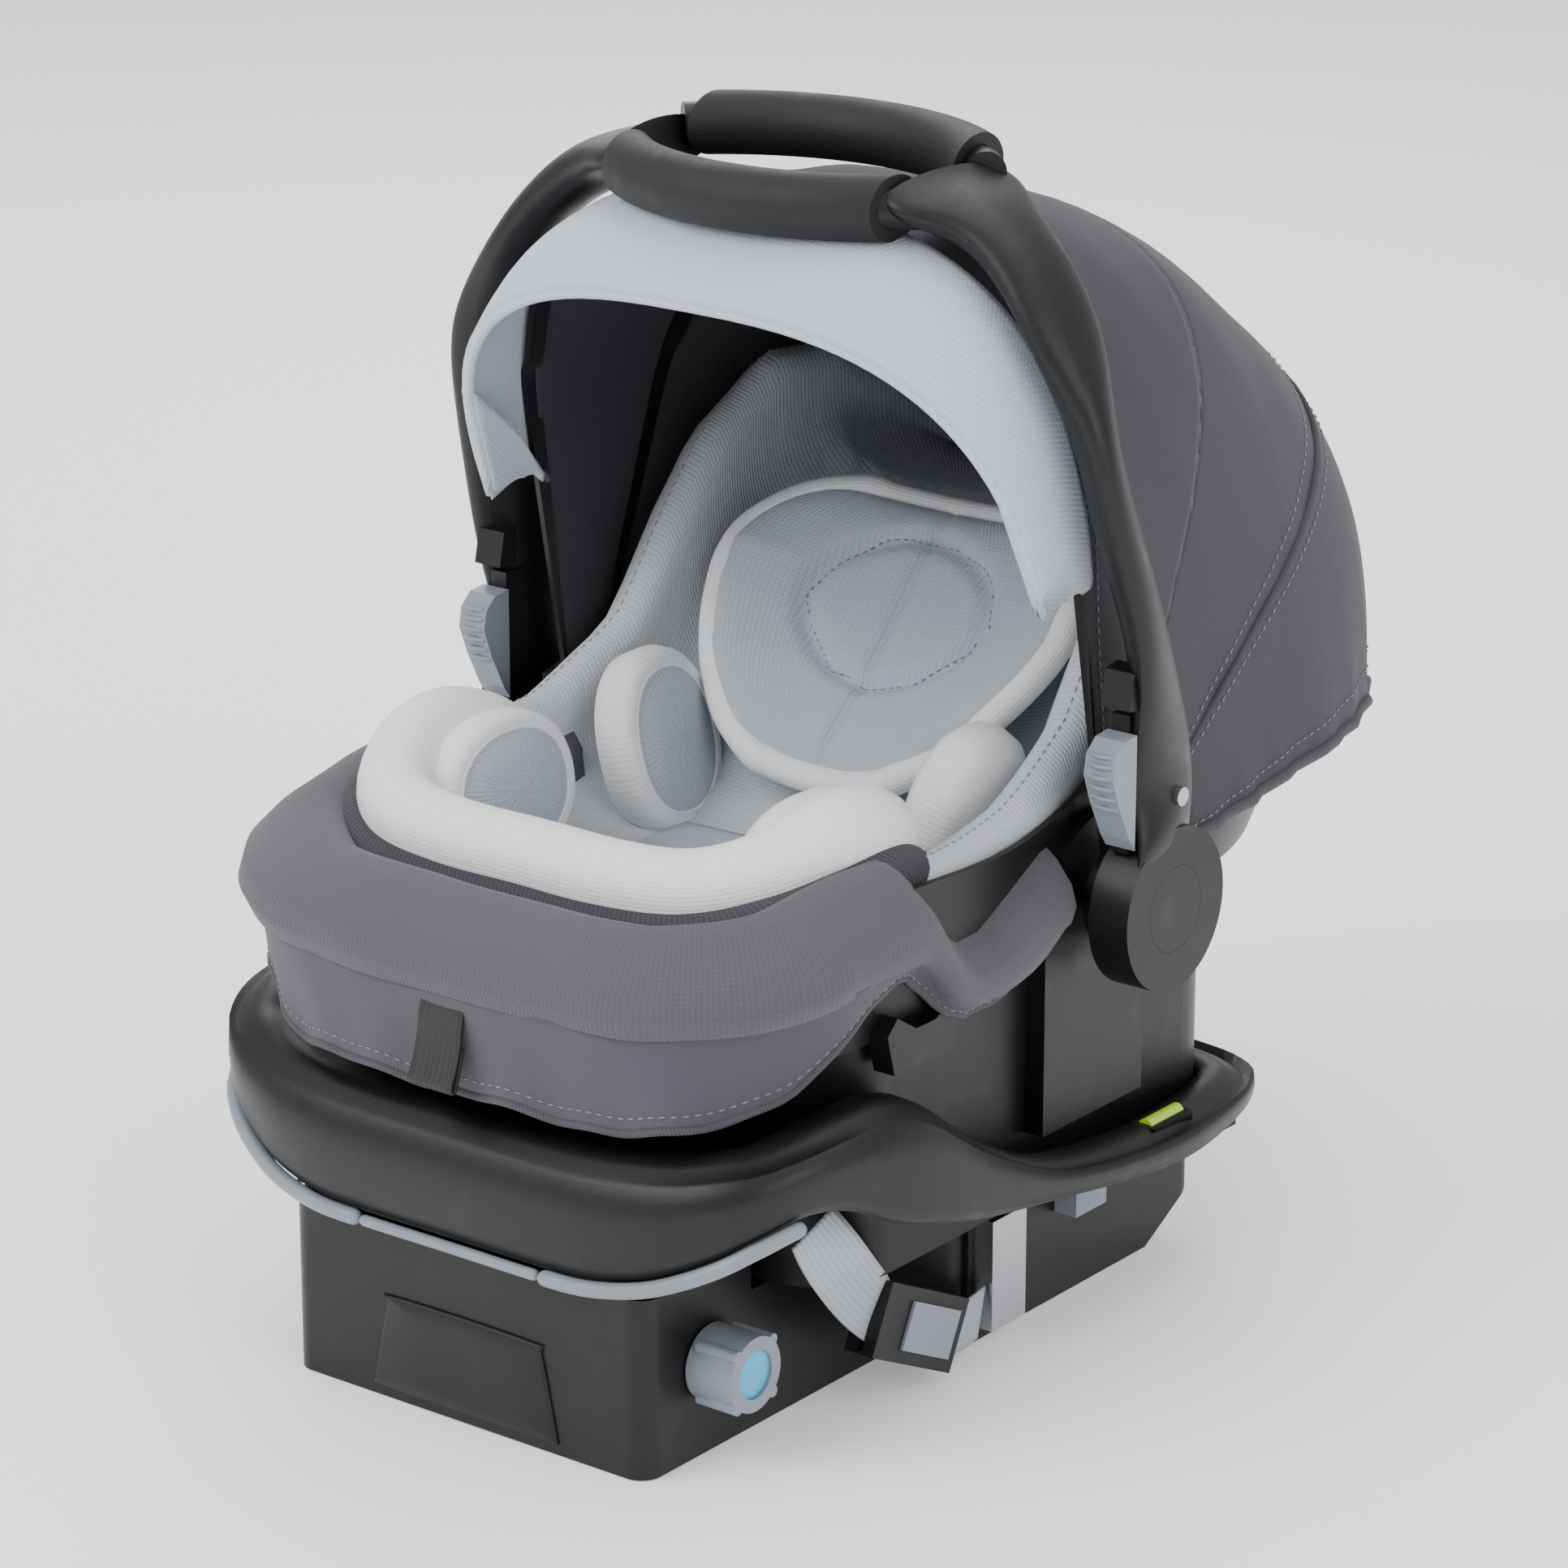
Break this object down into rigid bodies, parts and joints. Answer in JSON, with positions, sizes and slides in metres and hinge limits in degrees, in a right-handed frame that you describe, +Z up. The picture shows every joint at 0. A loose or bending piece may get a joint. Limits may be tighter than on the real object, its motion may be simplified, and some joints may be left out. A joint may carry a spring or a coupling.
{
  "type": "infant car seat",
  "caption": "Rear-facing infant carrier with carry handle, folding canopy and padded liner, seated on its vehicle base",
  "frame": {"origin": "on the floor face of the base, directly under the axis of the carrying handle, on the middle plane", "axes": "+Z up, +Y towards the head end, +X to the side with the level vial and the recline dial"},
  "size_m": [0.4486, 0.6656, 0.626],
  "materials": {
    "black_plastic": "satin textured moulding",
    "grey_plastic": "satin moulding",
    "blue_plastic": "satin moulding",
    "red_plastic": "gloss moulding",
    "rubber_black": "soft-touch grip rubber",
    "steel": "zinc plated steel",
    "vial_green": "clear tube of tinted fluid",
    "vial_bubble": "air bubble",
    "grey_webbing": "polyester webbing",
    "black_webbing": "polyester webbing",
    "foam": "expanded foam beads",
    "pad_fabric": "fine light grey knit",
    "insert_fabric": "soft white and blue-grey knit",
    "cover_fabric": "mid-grey knit with a woven skirt",
    "canopy_fabric": "charcoal woven fabric",
    "visor_fabric": "pale blue-grey knit"
  },
  "bodies": {
    "base": {"anchor_adjuster_left": "black_plastic", "anchor_adjuster_right": "black_plastic", "anchor_connector_left": "steel", "anchor_connector_right": "steel", "anchor_strap_left": "grey_webbing", "anchor_strap_right": "grey_webbing", "base_lower_shell": "black_plastic", "base_rim": "black_plastic", "base_trim_centre": "grey_plastic", "base_trim_strip": "grey_plastic", "connector_dock_left": "black_plastic", "connector_dock_right": "black_plastic", "level_bezel": "black_plastic", "level_bubble": "vial_bubble", "level_vial": "vial_green", "rim_rest_pads": "rubber_black"},
    "carrier": {"adjuster_strap": "black_webbing", "belt_hook_left": "black_plastic", "belt_hook_right": "black_plastic", "body_insert": "insert_fabric", "canopy_middle_fabric": "canopy_fabric", "canopy_rear": "canopy_fabric", "carrier_shell": "black_plastic", "foam_liner": "foam", "head_insert": "insert_fabric", "hub_pin_left": "steel", "hub_pin_right": "steel", "seat_cover": "cover_fabric", "seat_pad": "pad_fabric", "shell_accent_left": "blue_plastic", "shell_accent_right": "blue_plastic"},
    "handle": {"arm_cap_left": "black_plastic", "arm_cap_right": "black_plastic", "arm_screws": "steel", "front_grip": "rubber_black", "handle_arch": "black_plastic", "hub_cap_left": "black_plastic", "hub_cap_right": "black_plastic", "rear_grip": "rubber_black"},
    "canopy_middle": {"canopy_middle_bow": "black_plastic", "canopy_front_fabric": "canopy_fabric"},
    "canopy_front": {"canopy_front_bow": "black_plastic", "canopy_visor": "visor_fabric"},
    "button_right": {"release_button_right": "grey_plastic"},
    "button_left": {"release_button_left": "grey_plastic"},
    "recline_dial": {"recline_dial": "grey_plastic"},
    "recline_button": {"recline_button": "blue_plastic"},
    "lock_button": {"carrier_lock_button": "grey_plastic"},
    "adjuster_right": {"adjuster_button_right": "grey_plastic"},
    "adjuster_left": {"adjuster_button_left": "grey_plastic"},
    "connector_right": {"connector_release_right": "red_plastic"},
    "connector_left": {"connector_release_left": "red_plastic"},
    "trigger": {"release_trigger": "black_plastic"}
  },
  "joints": [
    {"name": "carrier_lift", "type": "slide", "parent": "base", "child": "carrier", "axis": [0, 0, 1], "range_m": [0, 0.25]},
    {"name": "handle_hinge", "type": "hinge", "parent": "carrier", "child": "handle", "pos_m": [0, 0, 0.24], "axis": [1, 0, 0], "range_deg": [-30, 60]},
    {"name": "canopy_hinge", "type": "hinge", "parent": "carrier", "child": "canopy_middle", "pos_m": [0, 0, 0.24], "axis": [1, 0, 0], "range_deg": [-25, 0], "deforming": ["canopy_middle_fabric"]},
    {"name": "canopy_front_hinge", "type": "hinge", "parent": "canopy_middle", "child": "canopy_front", "pos_m": [0, 0, 0.24], "axis": [1, 0, 0], "range_deg": [-25, 0], "deforming": ["canopy_front_fabric"]},
    {"name": "recline_dial_turn", "type": "hinge", "parent": "base", "child": "recline_dial", "pos_m": [0.135, -0.256, 0.05], "axis": [1, 0, 0], "range_deg": [0, 180]},
    {"name": "recline_button_press", "type": "slide", "parent": "recline_dial", "child": "recline_button", "axis": [-1, 0, 0], "range_m": [0, 0.003], "stiffness_N_per_m": 400},
    {"name": "lock_button_press", "type": "slide", "parent": "base", "child": "lock_button", "axis": [-1, 0, 0], "range_m": [0, 0.006], "stiffness_N_per_m": 400},
    {"name": "release_button_right_slide", "type": "slide", "parent": "handle", "child": "button_right", "axis": [0, 0, 1], "range_m": [0, 0.008], "stiffness_N_per_m": 500},
    {"name": "adjuster_button_right_press", "type": "slide", "parent": "base", "child": "adjuster_right", "axis": [-1, 0, 0], "range_m": [0, 0.0024], "stiffness_N_per_m": 400},
    {"name": "connector_release_right_press", "type": "slide", "parent": "base", "child": "connector_right", "axis": [0, 0, 1], "range_m": [0, 0.0035], "stiffness_N_per_m": 300},
    {"name": "release_button_left_slide", "type": "slide", "parent": "handle", "child": "button_left", "axis": [0, 0, 1], "range_m": [0, 0.008], "stiffness_N_per_m": 500},
    {"name": "adjuster_button_left_press", "type": "slide", "parent": "base", "child": "adjuster_left", "axis": [1, 0, 0], "range_m": [0, 0.0024], "stiffness_N_per_m": 400},
    {"name": "connector_release_left_press", "type": "slide", "parent": "base", "child": "connector_left", "axis": [0, 0, 1], "range_m": [0, 0.0035], "stiffness_N_per_m": 300},
    {"name": "release_trigger_pull", "type": "slide", "parent": "carrier", "child": "trigger", "axis": [0, 1, 0], "range_m": [0, 0.008], "stiffness_N_per_m": 500}
  ],
  "couplings": [
    {"joint": "canopy_front_hinge", "follows": "canopy_hinge", "ratio": 1}
  ]
}
